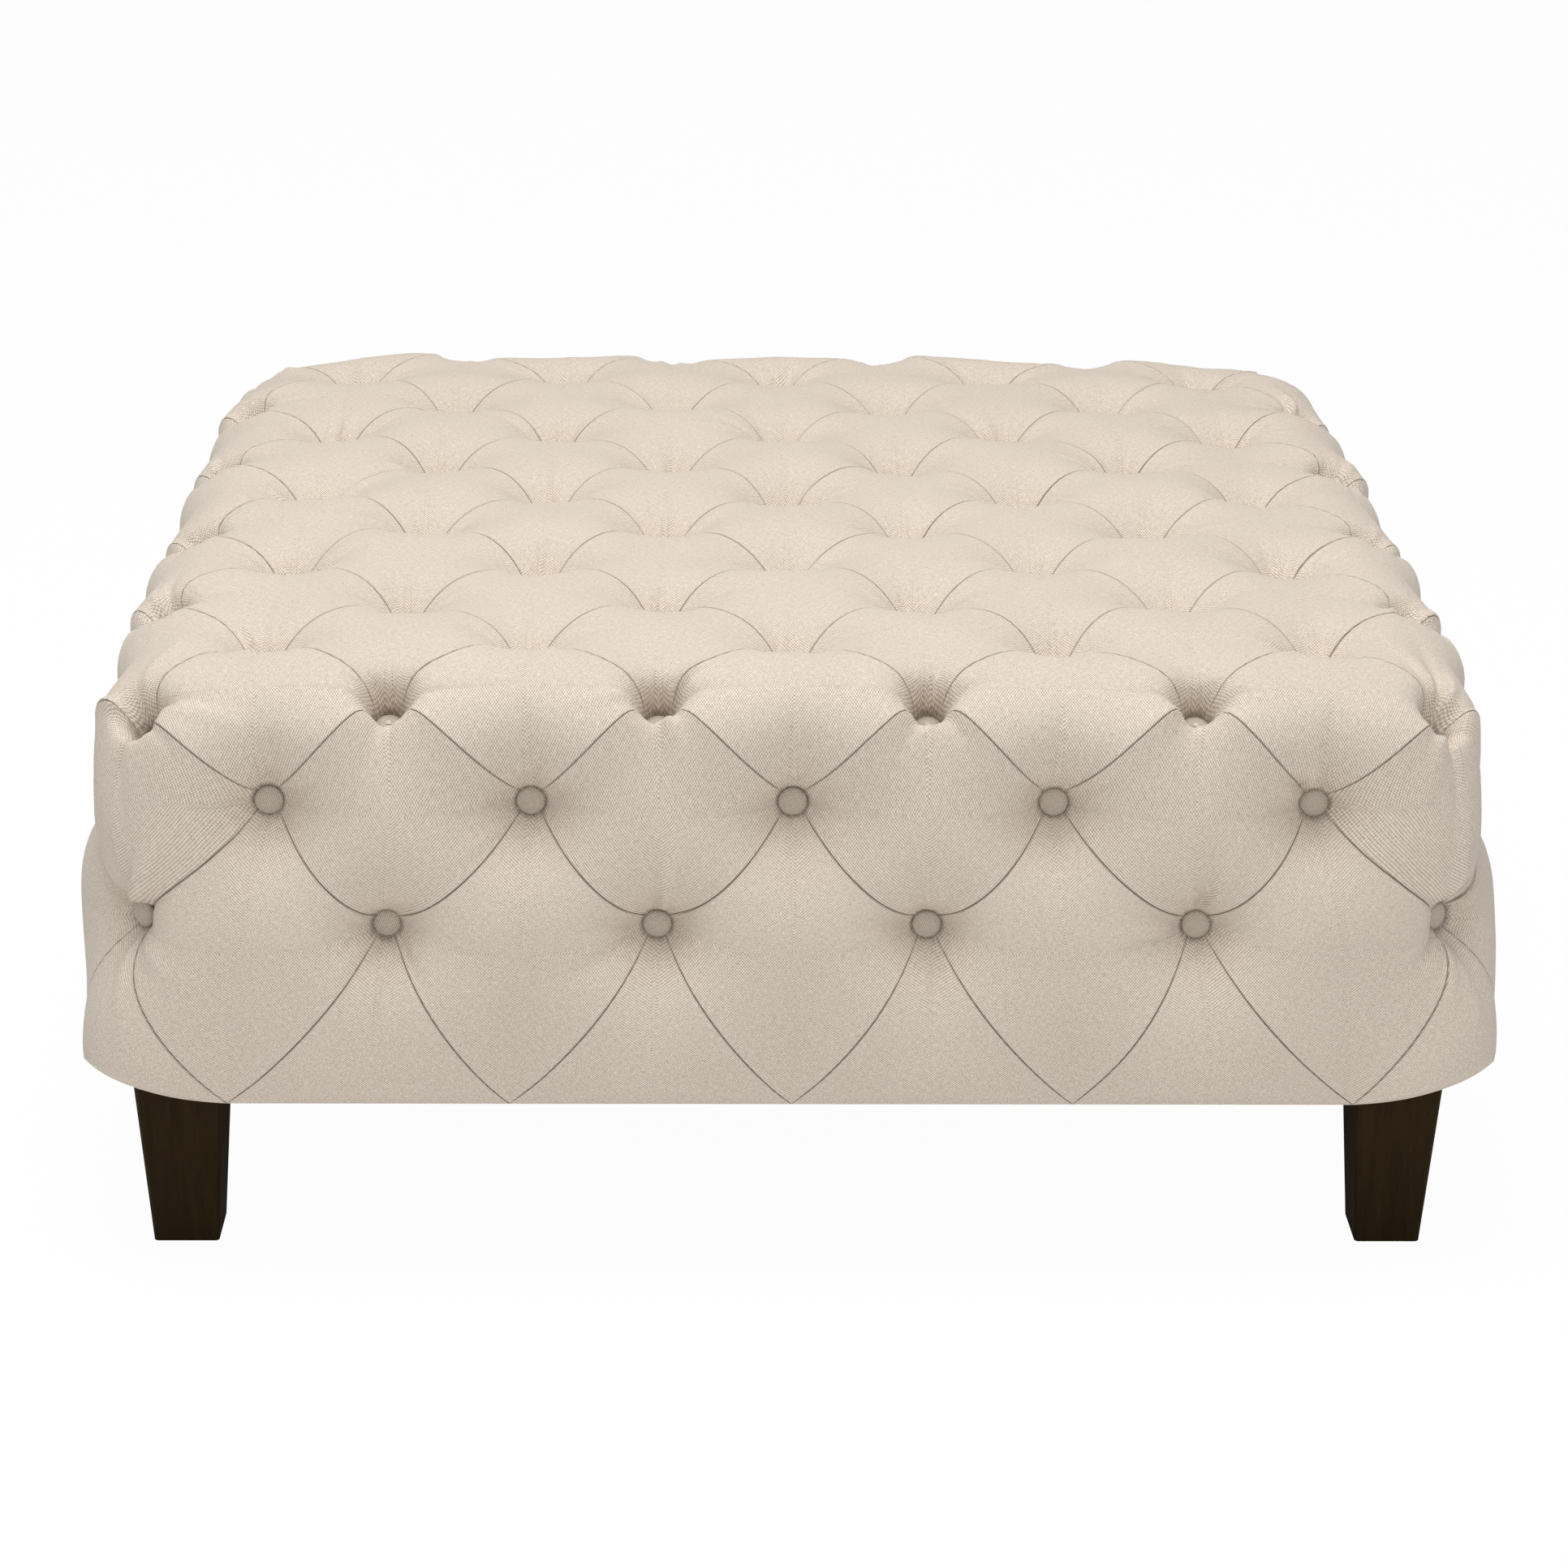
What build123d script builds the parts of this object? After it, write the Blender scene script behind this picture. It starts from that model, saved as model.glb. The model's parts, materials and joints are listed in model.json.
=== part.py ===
"""Tufted ottoman: a padded square bench, buttoned all over, on four tapered legs.

Millimetres. The origin is on the floor, under the middle of the ottoman, and +Z is up.
The front faces -Y, and side k is the front turned k quarter turns about Z.

The buttons make a net of diamonds that runs over the top and down all four sides. A place in
the net is counted in half pitches from the middle: the buttons of a whole row lie at
-4, -2, 0, 2, 4, those of a half row between them at -3, -1, 1, 3, and on each upright corner
of the ottoman one more lies at 5. Pleats run from button to button, and each mesh of the net
is one pillow. Under the cover are foam, webbing and a wooden frame, and every button is tied
down to the frame or to a toggle under the webbing.
"""
from build123d import *
import os
from math import atan2, cos, radians, sin, sqrt

# Net of buttons
PITCH = 180.0  # between two buttons of one row
COUNT = 5  # buttons along a whole row

# Rows of buttons: how far out of the outermost top row
RIM_OUT, UPPER_OUT, LOWER_OUT, HEM_OUT = 67.0, 78.0, 94.0, 118.0
LOWER_CORNER_INSET = 17.0  # the lower corner button lies this far inside its row

# Rows of buttons: how high over the top of the frame, and the lower row over the hem
TOP_OVER, RIM_OVER, UPPER_UNDER = 60.0, 45.0, 6.0
LOWER_UP = 123.0
RIM_CORNER_DROP = 12.0  # from the rim row to its corner buttons
RIM_TILT = 60.0  # degrees that a rim button looks up

# Pillows: how far each crown stands out of the mean place of its buttons
TOP_CROWN = 36.0
RIM_CROWN = 62.0
UPPER_CROWN, UPPER_CORNER_CROWN = 36.0, 60.0
LOWER_CROWN = 38.0
HEM_CROWN, HEM_CORNER_CROWN = 22.0, 42.0
HEM_CORNER_SWELL = 31.0  # how far the hem rounds out at a corner
PLEAT_RISE = 28.0  # of a pleat, over the straight line between its buttons
PLEAT_SAG = 14.0  # of a pleat between the upper and lower rows, below that line
PLEAT_STEPS = 3  # straight pieces along a pleat
RING_share = 0.68  # where the facets break, from the crown out to the pleats
RING_POWER = 2.6  # how late the pillow turns down

# Buttons, covered in the cloth of the cover, and the twine that ties them
SEAT = 22.0  # flat bottom of a tuft
BUTTON_BACK, BUTTON_WIDTH, BUTTON_FACE = 12.0, 20.0, 12.0
BUTTON_EDGE_HEIGHT, BUTTON_HEIGHT = 4.0, 8.0
BUTTON_SIDES = 8
TWINE = 3.0
TWINE_HOLE = 5.0  # in the cover
FOAM_HOLE = 8.0
TOGGLE_LENGTH, TOGGLE_THICKNESS = 34.0, 6.0

# Legs, from the floor up
GLIDE_DIAMETER, GLIDE_THICKNESS = 24.0, 3.0
LEG_LENGTH = 121.0
LEG_TOP, LEG_FOOT = 61.0, 45.0
LEG_EDGE = 2.5  # chamfer of the upright edges
LEG_INSET = 28.5  # from the hem to the outside of the leg
PLATE_SIZE, PLATE_THICKNESS = 56.0, 3.0

# Frame
BASE_BOARD_WIDTH, BASE_BOARD = 92.0, 12.0
FRAME_OUT = 58.0  # outside of the panels, out of the outermost top row
PANEL = 18.0
FRAME_UP = 211.0  # top of the frame over the hem
POST = 45.0
RAIL_WIDTH, RAIL = 60.0, 20.0
BLOCK_LENGTH, BLOCK_HEIGHT = 95.0, 30.0
BEAM, BEAM_HEIGHT = 18.0, 60.0
STRAP_WIDTH, STRAP = 72.0, 2.0
STRAP_STEP = 8.0  # along which a crosswise strap comes down to the rail
STRAP_END = 4.0  # from the end of a strap to the panel

# Space inside the cover
HEM_FOLD, HEM_FOLD_WIDTH = 2.0, 40.0  # cloth turned under the base
HEM_WALL, SIDE_WALL, TOP_WALL = 14.0, 7.0, 8.0  # thickness of cloth and wadding
SHOULDER_OVER = 2.0  # where the space starts to lean in, over the top of the frame
TOP_LEAN = 38.0  # reach of the space's top, out of the outermost top row
HEM_CORNER_CUT, CORNER_CUT = 40.0, 24.0  # of the space, at the hem and from the shoulder up
DUST_COVER, DUST_COVER_INSET = 1.0, 36.0

# Clearances
SOFT_GAP = 0.3  # between cloth, foam or twine and what is next to it
NOTCH_GAP = 1.0  # cloth cut out round a leg
OVERRUN = 6.0  # of a cut past the surface it opens

# Places that follow from the sizes
TOP_REACH = (COUNT - 1) * PITCH / 2
LEG_TOP_HEIGHT = GLIDE_THICKNESS + LEG_LENGTH
BASE_HEIGHT = LEG_TOP_HEIGHT + PLATE_THICKNESS
BASE_TOP = BASE_HEIGHT + BASE_BOARD
HEM_HEIGHT = BASE_HEIGHT - SOFT_GAP - HEM_FOLD
HEM_REACH = TOP_REACH + HEM_OUT
FRAME_REACH = TOP_REACH + FRAME_OUT
PANEL_REACH = FRAME_REACH - PANEL  # inside of the panels
FRAME_TOP = HEM_HEIGHT + FRAME_UP
SEAT_HEIGHT = FRAME_TOP + TOP_OVER
DECK = FRAME_TOP + 2 * STRAP
LEG_REACH = HEM_REACH - LEG_INSET - LEG_TOP / 2
WHOLE_ROW = range(1 - COUNT, COUNT, 2)
HALF_ROW = range(2 - COUNT, COUNT - 1, 2)
SIDES = range(4)
SIDE_NAMES = ("front", "right", "back", "left")
CORNER_NAMES = ("front_right", "back_right", "back_left", "front_left")
UPRIGHT_share = 0.01  # slant under which a way counts as upright
UP = Vector(0, 0, 1)
FRONT = Vector(0, -1, 0)

# Reach, height and tilt of each row of a side, and the inset and drop of its corner buttons
ROWS = {
    "rim": (TOP_REACH + RIM_OUT, FRAME_TOP + RIM_OVER, RIM_TILT, 0, RIM_CORNER_DROP),
    "upper": (TOP_REACH + UPPER_OUT, FRAME_TOP - UPPER_UNDER, 0, 0, 0),
    "lower": (TOP_REACH + LOWER_OUT, HEM_HEIGHT + LOWER_UP, 0, LOWER_CORNER_INSET, 0),
    "hem": (HEM_REACH, HEM_HEIGHT, 0, 0, 0),
}


# Net of buttons


def turned(point, side):
    """A point or direction of the front, taken to another side."""
    return point.rotate(Axis.Z, 90 * side)


def side_node(row, side, place):
    """A button of a side, where a corner button belongs to the side on its left."""
    if place == -COUNT:
        return (row, (side - 1) % 4, COUNT)
    return (row, side % 4, place)


def top_node(across, along):
    """A button of the top, or the rim button where the net folds over the edge."""
    ways = ((across, -along), (along, across), (-across, along), (-along, -across))
    for side, (place, out) in enumerate(ways):
        if out == COUNT:
            return side_node("rim", side, place)
    return ("top", across, along)


def rim_neighbour(side, place):
    """The top button next to a place on the rim of a side."""
    across, along = place, 1 - COUNT
    for _ in range(side):
        across, along = -along, across
    return ("top", across, along)


def spot(node):
    """The seat of a button: its middle, and the way that it faces."""
    row = node[0]
    if row == "top":
        return Vector(node[1] * PITCH / 2, node[2] * PITCH / 2, SEAT_HEIGHT), UP
    reach, height, tilt, inset, drop = ROWS[row]
    side, place = node[1:]
    if place == COUNT:
        point = Vector(reach - inset, inset - reach, height - drop)
        out = Vector(1, -1, 0).normalized()
    elif row == "rim":
        point, out = Vector(place * PITCH / 2, -reach, height), FRONT
    else:
        point, out = Vector(place / COUNT * reach, -reach, height), FRONT
    out = out * cos(radians(tilt)) + UP * sin(radians(tilt))
    return turned(point, side), turned(out, side)


def way_to(node, other):
    """Unit vector in the seat of a button, towards another button."""
    point, out = spot(node)
    way = spot(other)[0] - point
    return (way - out * way.dot(out)).normalized()


def seat_points(before, node, after):
    """Edge of a seat inside one pillow, from one pleat to the next."""
    point, out = spot(node)
    if node[0] == "hem":
        return [point]
    first, last = way_to(node, before), way_to(node, after)
    middle = (first + last).normalized()
    if last.cross(first).dot(out) < 0:
        middle = -middle
    return [point + way * (SEAT / 2) for way in (first, middle, last)]


def pleat_points(node, other, swell):
    """Points between the ends of a pleat, or between two ends of the hem."""
    on_hem = node[0] == "hem" and other[0] == "hem"
    if on_hem and not swell:
        return []
    start = seat_points(other, node, other)[-1]
    end = seat_points(node, other, node)[-1]
    out = (spot(node)[1] + spot(other)[1]).normalized()
    rise = out * (swell if on_hem else PLEAT_RISE)
    if {node[0], other[0]} == {"upper", "lower"}:
        rise -= UP * PLEAT_SAG
    points = []
    for step in range(1, PLEAT_STEPS):
        share = step / PLEAT_STEPS
        points.append(start + (end - start) * share + rise * (4 * share * (1 - share)))
    return points


def pillows():
    """Every pillow of the net: its buttons as seen from outside, its crown and its swell."""
    meshes = []
    for across in range(1 - COUNT, COUNT):
        for along in range(1 - COUNT, COUNT):
            if (across + along) % 2:
                steps = ((0, 1), (-1, 0), (0, -1), (1, 0))
                nodes = [top_node(across + i, along + j) for i, j in steps]
                meshes.append((nodes, TOP_CROWN, 0))
    for side in SIDES:
        meshes += side_pillows(side)
    return meshes


def side_pillows(side):
    """The pillows of one side and of the corner on its right."""

    def node(row, place):
        return side_node(row, side, place)

    meshes = []
    for place in WHOLE_ROW:
        left, right = place - 1, place + 1
        top = rim_neighbour(side, place)
        rim = [top, node("rim", left), node("upper", place), node("rim", right)]
        lower = [node("upper", place), node("lower", left), node("hem", place), node("lower", right)]
        meshes += [(rim, RIM_CROWN, 0), (lower, LOWER_CROWN, 0)]
    for place in HALF_ROW:
        left, right = place - 1, place + 1
        upper = [node("rim", place), node("upper", left), node("lower", place), node("upper", right)]
        hem = [node("lower", place), node("hem", left), node("hem", right)]
        meshes += [(upper, UPPER_CROWN, 0), (hem, HEM_CROWN, 0)]
    last = COUNT - 1
    upper_next, hem_next = (side_node(row, side + 1, -last) for row in ("upper", "hem"))
    upper = [node("rim", COUNT), node("upper", last), node("lower", COUNT), upper_next]
    hem = [node("lower", COUNT), node("hem", last), hem_next]
    meshes += [(upper, UPPER_CORNER_CROWN, 0), (hem, HEM_CORNER_CROWN, HEM_CORNER_SWELL)]
    return meshes


def buttons_of(*rows):
    """The buttons of the named rows, each once."""
    nodes = []
    for mesh, _, _ in pillows():
        nodes += [node for node in mesh if node[0] in rows and node not in nodes]
    return nodes


# Cover


def facet(*points):
    return Face(Wire.make_polygon(points))


def pillow_facets(nodes, crown, swell):
    """Facets of one pillow, with its edge on the hem where it has one."""
    edge, hem = [], []
    for k, node in enumerate(nodes):
        after = nodes[(k + 1) % len(nodes)]
        piece = seat_points(nodes[k - 1], node, after) + pleat_points(node, after, swell)
        edge += piece
        if node[0] == "hem" and after[0] == "hem":
            hem = piece
    spots = [spot(node) for node in nodes]
    if hem:
        spots.append(((spots[1][0] + spots[2][0]) / 2, spots[0][1]))
    middle = sum((point for point, _ in spots), Vector()) / len(spots)
    out = sum((way for _, way in spots), Vector()).normalized()
    top = middle + out * crown
    ring = []
    for point in edge:
        depth = (point - top).dot(out)
        across = point - top - out * depth
        ring.append(top + across * RING_share + out * (depth * RING_share**RING_POWER))
    facets = []
    for k, point in enumerate(edge):
        facets.append(facet(edge[k - 1], point, ring[k]))
        facets.append(facet(edge[k - 1], ring[k], ring[k - 1]))
        facets.append(facet(ring[k - 1], ring[k], top))
    return facets, hem


def seat_facet(node, points):
    """Flat bottom of a tuft."""
    middle, out = spot(node)
    plane = facing(middle, out)
    across, up = plane.x_dir, plane.y_dir
    points.sort(key=lambda point: atan2((point - middle).dot(up), (point - middle).dot(across)))
    return facet(*points)


def puffed_shape():
    """Outside of the cover, closed flat under the hem."""
    facets, hem, seats = [], [], {}
    for nodes, crown, swell in pillows():
        pillow, hem_edge = pillow_facets(nodes, crown, swell)
        facets += pillow
        hem += hem_edge
        for k, node in enumerate(nodes):
            if node[0] != "hem":
                after = nodes[(k + 1) % len(nodes)]
                seats.setdefault(node, []).extend(seat_points(nodes[k - 1], node, after)[1:])
    for node, points in seats.items():
        facets.append(seat_facet(node, points))
    facets.append(facet(*reversed(hem)))
    return Solid(Shell(facets))


def stacked(outlines):
    """Solid between flat outlines of as many corners each, from the lowest to the highest."""
    faces = [facet(*reversed(outlines[0])), facet(*outlines[-1])]
    for low, high in zip(outlines, outlines[1:]):
        for k in range(len(low)):
            faces.append(facet(low[k - 1], low[k], high[k], high[k - 1]))
    return Solid(Shell(faces))


def cut_square(half, cut, height):
    """Corners of a level square whose corners are cut off."""
    side = [Vector(half - cut, -half, height), Vector(half, cut - half, height)]
    return [turned(point, quarter) for quarter in SIDES for point in side]


def block(low, high):
    """Box between two opposite corners."""
    size = [b - a for a, b in zip(low, high)]
    return Pos(*low) * Box(*size, align=Align.MIN)


def inner_space(gap=0):
    """Space inside the cover, less a gap all round."""
    levels = (
        (HEM_REACH - HEM_WALL, HEM_CORNER_CUT, HEM_HEIGHT + HEM_FOLD + gap),
        (TOP_REACH + UPPER_OUT - SIDE_WALL, CORNER_CUT, FRAME_TOP + SHOULDER_OVER),
        (TOP_REACH + TOP_LEAN, CORNER_CUT, SEAT_HEIGHT - TOP_WALL - gap),
    )
    return stacked([cut_square(reach - gap, cut, height) for reach, cut, height in levels])


def facing(point, out):
    """Plane at a point that looks a given way."""
    upright = UP.cross(out).length < UPRIGHT_share
    across = FRONT.cross(UP) if upright else UP.cross(out)
    return Plane(origin=point, x_dir=across, z_dir=out)


def strand(start, end, width):
    """Square bar from one point to another."""
    way = end - start
    bar = Box(width, width, way.length, align=(Align.CENTER, Align.CENTER, Align.MIN))
    return facing(start, way.normalized()).location * bar


def twine_length(node):
    """From the seat of a button down to what its twine is tied to."""
    row = node[0]
    if row == "top":
        return SEAT_HEIGHT - FRAME_TOP - (SOFT_GAP if on_rail(node) else 0)
    reach, height, tilt, inset, drop = ROWS[row]
    at_corner = node[2] == COUNT
    if row == "rim":
        return (height - drop * at_corner - FRAME_TOP - SOFT_GAP - TWINE / 2) / sin(radians(tilt))
    depth = reach - inset * at_corner - FRAME_REACH
    return depth * (sqrt(2) if at_corner else 1) - SOFT_GAP


def on_rail(node):
    """Whether a top button is tied to the rail, and not to a toggle under the webbing."""
    return COUNT - 1 in (abs(node[1]), abs(node[2]))


def along_twine(node, width, over=0, under=0):
    """Square bar along the twine of a button, run out at its ends."""
    point, out = spot(node)
    return strand(point + out * over, point - out * (twine_length(node) + under), width)


def around_legs(low, high, gap):
    """Square bars at the four legs."""
    half = PLATE_SIZE / 2 if low >= HEM_HEIGHT - SOFT_GAP else LEG_TOP / 2
    half += gap
    near, far = LEG_REACH - half, LEG_REACH + half
    bars = block((near, near, low), (far, far, high))
    return [Rot(0, 0, 90 * side) * bars for side in SIDES]


def tufted_cover():
    """Cloth and wadding, puffed between the buttons, with its hem turned under the base."""
    opening = HEM_REACH - HEM_WALL - HEM_FOLD_WIDTH
    low, high = HEM_HEIGHT - OVERRUN, HEM_HEIGHT + HEM_FOLD + OVERRUN
    cuts = [inner_space(), block((-opening, -opening, low), (opening, opening, high))]
    cuts += around_legs(low, high, NOTCH_GAP)
    for node in buttons_of("top", "rim", "upper", "lower"):
        cuts.append(along_twine(node, TWINE_HOLE, over=OVERRUN))
    return puffed_shape() - cuts


# Buttons, twine and toggles


def button():
    """Covered button: a low drum with slanted shoulders."""
    levels = ((BUTTON_BACK, 0), (BUTTON_WIDTH, BUTTON_EDGE_HEIGHT), (BUTTON_FACE, BUTTON_HEIGHT))
    turns = [360 * corner / BUTTON_SIDES for corner in range(BUTTON_SIDES)]
    return stacked([[Vector(width / 2, 0, height).rotate(Axis.Z, turn) for turn in turns]
                    for width, height in levels])


def row_of_buttons(row):
    shape = button()
    seats = [spot(node) for node in buttons_of(row)]
    return [facing(point + out * SOFT_GAP, out).location * shape for point, out in seats]


def row_of_twines(row):
    return [along_twine(node, TWINE) for node in buttons_of(row)]


def toggles():
    """Bars under the webbing that hold the twines of the top."""
    bar = Box(TOGGLE_THICKNESS, TOGGLE_LENGTH, TOGGLE_THICKNESS)
    height = FRAME_TOP - SOFT_GAP - TOGGLE_THICKNESS / 2
    bars = []
    for node in buttons_of("top"):
        if not on_rail(node):
            point = spot(node)[0]
            bars.append(Pos(point.X, point.Y, height) * bar)
    return bars


# Foam and webbing


def top_foam():
    low = DECK + SOFT_GAP
    reach = HEM_REACH
    foam = inner_space(SOFT_GAP) & block((-reach, -reach, low), (reach, reach, SEAT_HEIGHT))
    nodes = buttons_of("top", "rim")
    return foam - [along_twine(node, FOAM_HOLE, OVERRUN, OVERRUN) for node in nodes]


def side_foams():
    """Foam round the frame: long pieces in front and behind, short ones between them."""
    reach, near = HEM_REACH, FRAME_REACH + SOFT_GAP
    low = BASE_TOP + SOFT_GAP
    high = FRAME_TOP - UPPER_UNDER - TWINE / 2 - SOFT_GAP
    space = inner_space(SOFT_GAP)
    holes = [along_twine(node, FOAM_HOLE, OVERRUN) for node in buttons_of("lower")]
    foams = []
    for side in SIDES:
        length = reach if side % 2 == 0 else near - SOFT_GAP
        bounds = block((-length, -reach, low), (length, -near, high))
        foams.append((space & (Rot(0, 0, 90 * side) * bounds)) - holes)
    return foams


def strap_places():
    """Middles of the straps, between the rows of buttons."""
    last = 2 * (COUNT - 1) - 1
    return [place * PITCH / 4 for place in range(-last, last + 1, 2)]


def lengthwise_straps():
    end = PANEL_REACH - STRAP_END
    strap = Box(2 * end, STRAP_WIDTH, STRAP, align=(Align.CENTER, Align.CENTER, Align.MIN))
    return [Pos(0, place, FRAME_TOP) * strap for place in strap_places()]


def crosswise_straps():
    """Straps laid over the others, with their ends down on the rails."""
    end = PANEL_REACH - STRAP_END
    start = strap_places()[-1] + STRAP_WIDTH / 2 + SOFT_GAP
    step = start + STRAP_STEP
    half = [(end, 0), (end, STRAP), (step, STRAP), (start, 2 * STRAP)]
    half_below = [(start, STRAP), (step, 0)]
    outline = half + [(-y, z) for y, z in reversed(half)]
    outline += [(-y, z) for y, z in reversed(half_below)] + half_below
    profile = Plane.YZ * make_face(Polyline(*outline, close=True))
    strap = extrude(profile, STRAP_WIDTH / 2, both=True)
    return [Pos(place, 0, FRAME_TOP) * strap for place in strap_places()]


# Frame


def at_sides(shape_of):
    """A shape for each side, drawn for the front, where the side's number sets its length."""
    return [Rot(0, 0, 90 * side) * shape_of(side) for side in SIDES]


def base_boards():
    """Ring of boards that carries the frame and the foam, its corners cut with the cover's."""
    slope_share = (BASE_TOP - HEM_HEIGHT - HEM_FOLD) / (FRAME_UP + SHOULDER_OVER - HEM_FOLD)
    lean = HEM_OUT - HEM_WALL - UPPER_OUT + SIDE_WALL
    reach = HEM_REACH - HEM_WALL - lean * slope_share - 2 * SOFT_GAP
    square = Rectangle(2 * reach, 2 * reach)
    ring = Pos(0, 0, BASE_HEIGHT) * extrude(chamfer(square.vertices(), HEM_CORNER_CUT), BASE_BOARD)

    def bounds(side):
        length = reach if side % 2 == 0 else reach - BASE_BOARD_WIDTH
        low, high = (-length, -reach, BASE_HEIGHT), (length, BASE_BOARD_WIDTH - reach, BASE_TOP)
        return block(low, high)

    return [ring & board for board in at_sides(bounds)]


def side_panels():
    def panel(side):
        length = FRAME_REACH if side % 2 == 0 else PANEL_REACH
        return block((-length, -FRAME_REACH, BASE_TOP), (length, -PANEL_REACH, FRAME_TOP))

    return at_sides(panel)


def top_rails():
    """Flat rails inside the panels, notched round the posts."""
    low = FRAME_TOP - RAIL
    inside = PANEL_REACH - POST

    def rail(side):
        length = PANEL_REACH if side % 2 == 0 else PANEL_REACH - RAIL_WIDTH
        return block((-length, -PANEL_REACH, low), (length, RAIL_WIDTH - PANEL_REACH, FRAME_TOP))

    posts = [Rot(0, 0, 90 * side) * block((inside, inside, low), (PANEL_REACH, PANEL_REACH, FRAME_TOP))
             for side in SIDES]
    return [rail - posts for rail in at_sides(rail)]


def corner_posts():
    """Posts in the corners of the panels, front right first."""
    near, far = PANEL_REACH - POST, PANEL_REACH
    post = block((near, -far, BASE_TOP), (far, -near, FRAME_TOP))
    return [Rot(0, 0, 90 * side) * post for side in SIDES]


def corner_blocks():
    """Braces on the base boards, cut round the posts."""
    far, near, end = PANEL_REACH, PANEL_REACH - POST, PANEL_REACH - BLOCK_LENGTH
    outline = [(end, -far), (near, -far), (near, -near), (far, -near), (far, -end)]
    brace = extrude(make_face(Polyline(*outline, close=True)), BLOCK_HEIGHT, dir=(0, 0, 1))
    return [Rot(0, 0, 90 * side) * Pos(0, 0, BASE_TOP) * brace for side in SIDES]


def cross_beam():
    """Beam on the base boards, from the front panel to the back one."""
    return block((-BEAM / 2, -PANEL_REACH, BASE_TOP), (BEAM / 2, PANEL_REACH, BASE_TOP + BEAM_HEIGHT))


# Legs


def at_leg(side):
    """Place of a leg, front right first."""
    return Rot(0, 0, 90 * side) * Pos(LEG_REACH, -LEG_REACH, 0)


def leg():
    """Square leg, tapered on all sides, with its edges broken."""
    ends = ((LEG_FOOT, GLIDE_THICKNESS), (LEG_TOP, LEG_TOP_HEIGHT))
    return stacked([cut_square(width / 2, LEG_EDGE * width / LEG_TOP, height) for width, height in ends])


def legs():
    return [at_leg(side) * leg() for side in SIDES]


def leg_plates():
    plate = Box(PLATE_SIZE, PLATE_SIZE, PLATE_THICKNESS, align=(Align.CENTER, Align.CENTER, Align.MIN))
    return [at_leg(side) * Pos(0, 0, LEG_TOP_HEIGHT) * plate for side in SIDES]


def foot_glides():
    glide = Cylinder(GLIDE_DIAMETER / 2, GLIDE_THICKNESS, align=(Align.CENTER, Align.CENTER, Align.MIN))
    return [at_leg(side) * glide for side in SIDES]


def dust_cover():
    """Thin cloth under the base, cut out round the legs."""
    reach = HEM_REACH - DUST_COVER_INSET
    high = HEM_HEIGHT - SOFT_GAP
    low = high - DUST_COVER
    sheet = block((-reach, -reach, low), (reach, reach, high))
    return sheet - around_legs(low - OVERRUN, high + OVERRUN, NOTCH_GAP)


def save(name, shapes):
    """Write one node, of one solid or of several alike."""
    solids = [solid for shape in shapes for solid in shape.solids()]
    export_step(solids[0] if len(solids) == 1 else Compound(solids), f"parts/{name}.step")


def main():
    os.makedirs("parts", exist_ok=True)
    save("tufted_cover", [tufted_cover()])
    for row, name in (("top", "top"), ("rim", "rim"), ("upper", "upper_side"), ("lower", "lower_side")):
        save(f"{name}_buttons", row_of_buttons(row))
        save(f"{name}_twines", row_of_twines(row))
    save("toggles", toggles())
    save("top_foam", [top_foam()])
    save("webbing_lengthwise", lengthwise_straps())
    save("webbing_crosswise", crosswise_straps())
    for name, shapes in (("side_foam", side_foams()), ("side_panel", side_panels()),
                         ("top_rail", top_rails()), ("base_board", base_boards())):
        for side, shape in zip(SIDE_NAMES, shapes):
            save(f"{name}_{side}", [shape])
    for name, shapes in (("corner_post", corner_posts()), ("corner_block", corner_blocks()),
                         ("leg", legs()), ("leg_plate", leg_plates())):
        for corner, shape in zip(CORNER_NAMES, shapes):
            save(f"{name}_{corner}", [shape])
    save("cross_beam", [cross_beam()])
    save("foot_glides", foot_glides())
    save("dust_cover", [dust_cover()])


main()
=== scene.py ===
"""Looks of the tufted ottoman: puffed linen cover, covered buttons, dark wooden legs."""
import bpy
import bmesh
import json
import math
import numpy as np
from mathutils import Matrix, Vector


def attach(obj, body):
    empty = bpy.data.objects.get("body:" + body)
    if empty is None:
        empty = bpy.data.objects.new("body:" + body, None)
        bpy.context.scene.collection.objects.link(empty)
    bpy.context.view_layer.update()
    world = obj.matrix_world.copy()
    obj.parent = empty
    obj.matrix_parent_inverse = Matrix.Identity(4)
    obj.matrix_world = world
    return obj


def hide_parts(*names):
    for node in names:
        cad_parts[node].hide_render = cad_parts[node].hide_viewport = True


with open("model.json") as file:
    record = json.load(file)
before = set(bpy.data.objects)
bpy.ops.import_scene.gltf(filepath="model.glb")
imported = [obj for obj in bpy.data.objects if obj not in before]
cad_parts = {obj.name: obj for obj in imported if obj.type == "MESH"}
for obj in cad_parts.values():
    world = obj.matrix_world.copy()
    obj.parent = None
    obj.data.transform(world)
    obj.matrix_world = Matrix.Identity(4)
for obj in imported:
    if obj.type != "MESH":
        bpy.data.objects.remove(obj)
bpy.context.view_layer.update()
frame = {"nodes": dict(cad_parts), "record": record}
SEED = 11
rng = np.random.default_rng(SEED)

# Lengths are millimetres, as in the solids, until MM turns them into metres
MM = 0.001
UP = np.array((0.0, 0.0, 1.0))
SMALL, NUDGE = 1e-6, 1e-9  # keep a division and a direction from failing

# Net of buttons, and heights of the hem and of the top's seats
PITCH, COUNT = 180.0, 5
TOP_REACH = (COUNT - 1) * PITCH / 2
HEM_HEIGHT, SEAT_HEIGHT = 124.7, 395.7
WHOLE_ROW, HALF_ROW = range(1 - COUNT, COUNT, 2), range(2 - COUNT, COUNT - 1, 2)

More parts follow.
